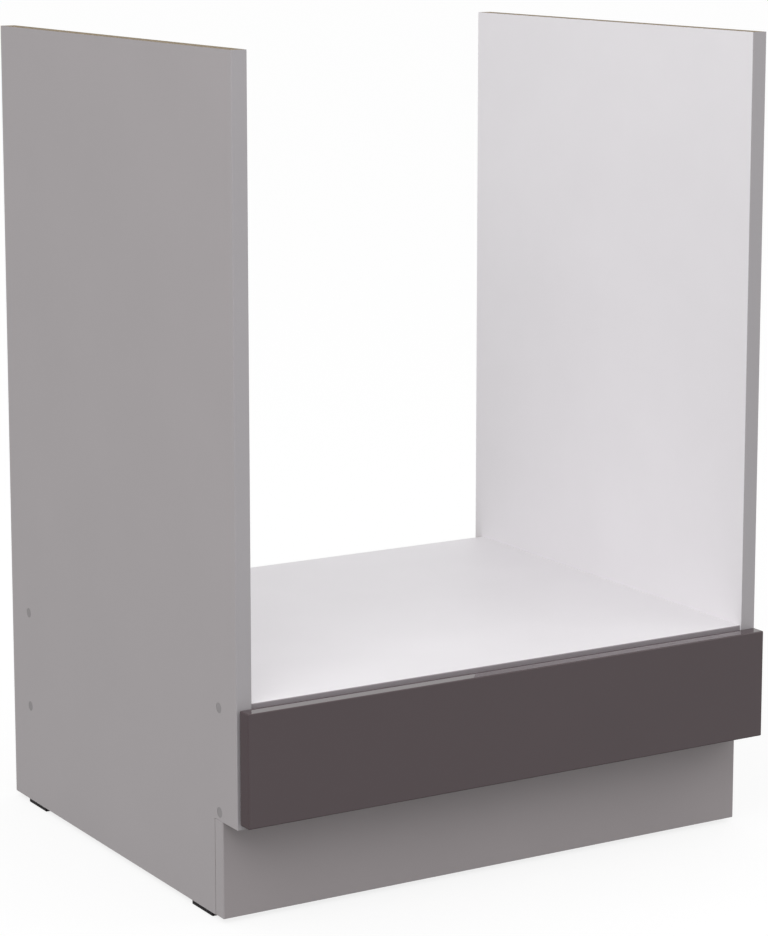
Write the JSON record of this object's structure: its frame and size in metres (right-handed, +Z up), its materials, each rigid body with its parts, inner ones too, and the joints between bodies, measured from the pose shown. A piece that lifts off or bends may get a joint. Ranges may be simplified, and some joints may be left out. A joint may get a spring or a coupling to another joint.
{
  "type": "kitchen base unit",
  "caption": "Open kitchen base unit for a built-in oven: side panels, oven shelf, low handleless drawer on roller runners and recessed plinth on glides.",
  "frame": {"origin": "on the floor, under the middle of the unit's box", "axes": "+X across to the unit's right as seen from the front, +Y from the front to the back, +Z up"},
  "size_m": [0.6, 0.518, 0.82],
  "materials": {
    "grey_white_board": "chipboard with grey melamine outside and white melamine inside",
    "grey_board": "chipboard with matt grey melamine",
    "white_board": "chipboard with satin white melamine",
    "grey_edge_band": "matt grey plastic edging",
    "gloss_lacquer": "fibreboard with high-gloss dark grey lacquer",
    "hardboard": "thin hardboard, white on one side",
    "black_plastic": "moulded black plastic",
    "grey_plastic": "moulded grey plastic",
    "coated_steel": "light grey powder-coated steel",
    "zinc_steel": "zinc-plated steel",
    "nylon": "white nylon",
    "beech": "fluted beech dowel",
    "clear_bumper": "soft clear bumper pad"
  },
  "bodies": {
    "carcass": {"side_panel_left": "grey_white_board", "side_panel_right": "grey_white_board", "side_edge_band_left": "grey_edge_band", "side_edge_band_right": "grey_edge_band", "oven_shelf": "white_board", "oven_shelf_edge_band": "grey_edge_band", "base_board": "white_board", "base_board_edge_band": "grey_edge_band", "back_panel": "hardboard", "back_panel_nails": "zinc_steel", "carcass_screws_left": "zinc_steel", "carcass_screws_right": "zinc_steel", "screw_caps_left": "grey_plastic", "screw_caps_right": "grey_plastic", "carcass_dowels_left": "beech", "carcass_dowels_right": "beech", "glide_front_left": "black_plastic", "glide_front_right": "black_plastic", "glide_rear_left": "black_plastic", "glide_rear_right": "black_plastic", "glide_nails": "zinc_steel", "plinth_board": "grey_board", "plinth_block_left": "grey_plastic", "plinth_block_right": "grey_plastic", "plinth_block_screws": "zinc_steel", "runner_left": "coated_steel", "runner_right": "coated_steel", "runner_screws": "zinc_steel", "front_roller_axle_left": "zinc_steel", "front_roller_axle_right": "zinc_steel"},
    "drawer": {"drawer_front": "gloss_lacquer", "front_bumpers": "clear_bumper", "drawer_side_left": "coated_steel", "drawer_side_right": "coated_steel", "drawer_bottom": "white_board", "drawer_back": "white_board", "drawer_bottom_screws": "zinc_steel", "drawer_back_screws": "zinc_steel", "front_bracket_left": "zinc_steel", "front_bracket_right": "zinc_steel", "bracket_rivets": "zinc_steel", "bracket_screws": "zinc_steel", "rear_roller_axle_left": "zinc_steel", "rear_roller_axle_right": "zinc_steel"},
    "front_roller_left": {"front_roller_left": "nylon"},
    "front_roller_right": {"front_roller_right": "nylon"},
    "rear_roller_left": {"rear_roller_left": "nylon"},
    "rear_roller_right": {"rear_roller_right": "nylon"}
  },
  "joints": [
    {"name": "drawer_slide", "type": "slide", "parent": "carcass", "child": "drawer", "axis": [0, -1, 0], "range_m": [0, 0.33]},
    {"name": "front_roller_left_spin", "type": "hinge", "parent": "carcass", "child": "front_roller_left", "pos_m": [-0.2795, -0.226, 0.1348], "axis": [1, 0, 0], "continuous": true},
    {"name": "front_roller_right_spin", "type": "hinge", "parent": "carcass", "child": "front_roller_right", "pos_m": [0.2795, -0.226, 0.1348], "axis": [1, 0, 0], "continuous": true},
    {"name": "rear_roller_left_spin", "type": "hinge", "parent": "drawer", "child": "rear_roller_left", "pos_m": [-0.2773, 0.195, 0.1344], "axis": [1, 0, 0], "continuous": true},
    {"name": "rear_roller_right_spin", "type": "hinge", "parent": "drawer", "child": "rear_roller_right", "pos_m": [0.2773, 0.195, 0.1344], "axis": [1, 0, 0], "continuous": true}
  ],
  "couplings": [
    {"joint": "front_roller_left_spin", "follows": "drawer_slide", "rad_per_m": 111.11},
    {"joint": "front_roller_right_spin", "follows": "drawer_slide", "rad_per_m": 111.11},
    {"joint": "rear_roller_left_spin", "follows": "drawer_slide", "rad_per_m": 111.11},
    {"joint": "rear_roller_right_spin", "follows": "drawer_slide", "rad_per_m": 111.11}
  ]
}
